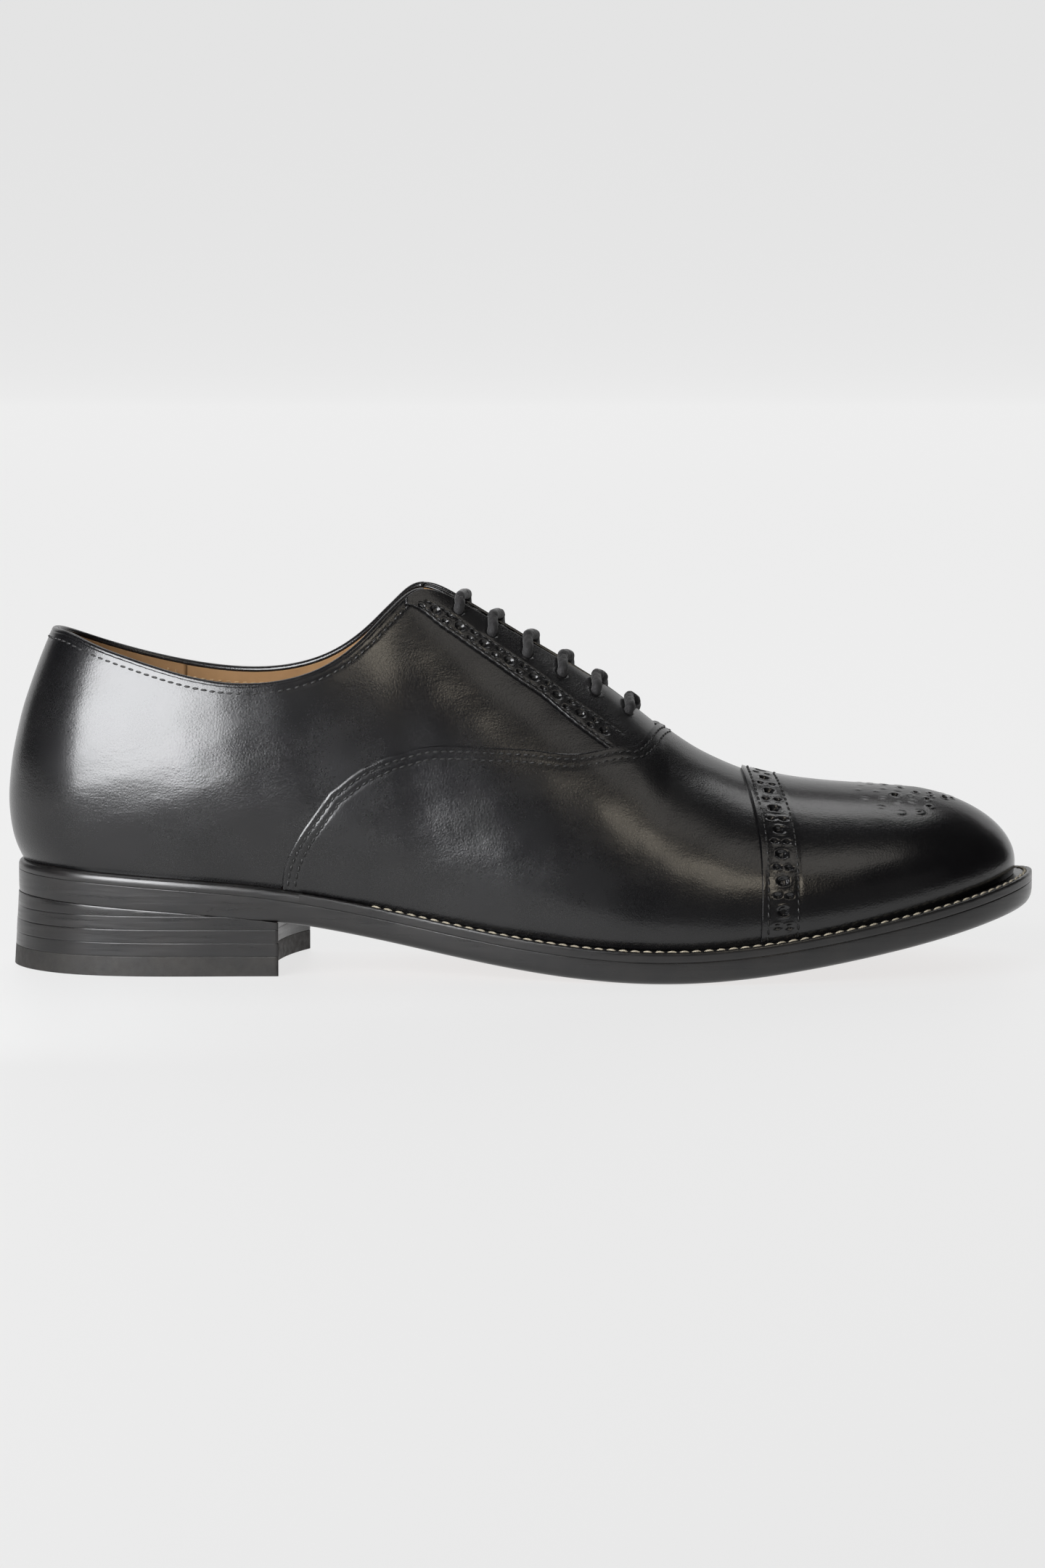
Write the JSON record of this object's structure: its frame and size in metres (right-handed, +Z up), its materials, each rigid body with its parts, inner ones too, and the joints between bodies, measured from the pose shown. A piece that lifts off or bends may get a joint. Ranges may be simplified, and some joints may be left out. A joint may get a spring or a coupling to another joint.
{
  "type": "leather oxford shoe",
  "caption": "Black cap-toe semi-brogue oxford, right shoe, closed lacing with straight bars, welted leather sole and stacked leather heel.",
  "frame": {"origin": "centre of the heel's flat resting face", "axes": "+X to the toe, +Y to the medial side (the shoe's left), +Z up"},
  "size_m": [0.3055, 0.102, 0.1142],
  "materials": {
    "black_leather": "polished fine-grain calf",
    "tan_lining": "matte vegetable-tanned lining",
    "natural_leather": "smooth oak-bark sole leather",
    "sole_edge": "dyed, waxed and burnished leather edge",
    "stiffener": "leather board",
    "cork": "granulated cork paste",
    "heel_rubber": "matte, fine moulded face",
    "lace_cord": "waxed round braided cotton",
    "thread": "waxed linen thread",
    "steel": "rolled spring steel",
    "brass": "drawn brass nail"
  },
  "bodies": {
    "shoe": {"vamp": "black_leather", "quarter_lateral": "black_leather", "quarter_medial": "black_leather", "shoelace": "lace_cord", "topline_binding": "black_leather", "heel_grip": "tan_lining", "quarter_lining_lateral": "tan_lining", "quarter_lining_medial": "tan_lining", "vamp_lining": "tan_lining", "heel_counter": "stiffener", "insole": "natural_leather", "heel_pad": "tan_lining", "insole_rib": "stiffener", "cork_filler": "cork", "shank": "steel", "welt": "sole_edge", "heel_rand": "sole_edge", "welt_stitching": "thread", "outsole": "natural_leather", "heel_lift_1": "sole_edge", "heel_lift_2": "sole_edge", "heel_lift_3": "sole_edge", "heel_lift_4": "sole_edge", "top_piece": "heel_rubber", "heel_nails": "brass"},
    "forepart": {"toe_cap": "black_leather", "toe_puff": "stiffener"},
    "lateral_facing": {"facing_lateral": "black_leather"},
    "medial_facing": {"facing_medial": "black_leather"},
    "tongue_flap": {"tongue": "black_leather"}
  },
  "joints": [
    {"name": "ball_flex", "type": "hinge", "parent": "shoe", "child": "forepart", "pos_m": [0.158, 0, 0.006], "axis": [0, -1, 0], "range_deg": [0, 20], "deforming": ["vamp", "vamp_lining", "outsole", "welt", "welt_stitching", "insole", "insole_rib", "cork_filler"]},
    {"name": "lateral_opening", "type": "hinge", "parent": "shoe", "child": "lateral_facing", "pos_m": [0.153, -0.002, 0.0685], "axis": [0.9505, 0.2221, -0.2171], "range_deg": [0, 25], "deforming": ["quarter_lateral", "quarter_lining_lateral", "shoelace", "topline_binding", "vamp", "vamp_lining"]},
    {"name": "medial_opening", "type": "hinge", "parent": "shoe", "child": "medial_facing", "pos_m": [0.153, 0.002, 0.0685], "axis": [-0.9505, 0.2221, 0.2171], "range_deg": [0, 25], "deforming": ["quarter_medial", "quarter_lining_medial", "shoelace", "topline_binding", "vamp", "vamp_lining"]},
    {"name": "tongue_drop", "type": "hinge", "parent": "shoe", "child": "tongue_flap", "pos_m": [0.149, 0, 0.06], "axis": [0, -1, 0], "range_deg": [0, 15]}
  ],
  "couplings": [
    {"joint": "medial_opening", "follows": "lateral_opening", "ratio": 1}
  ]
}
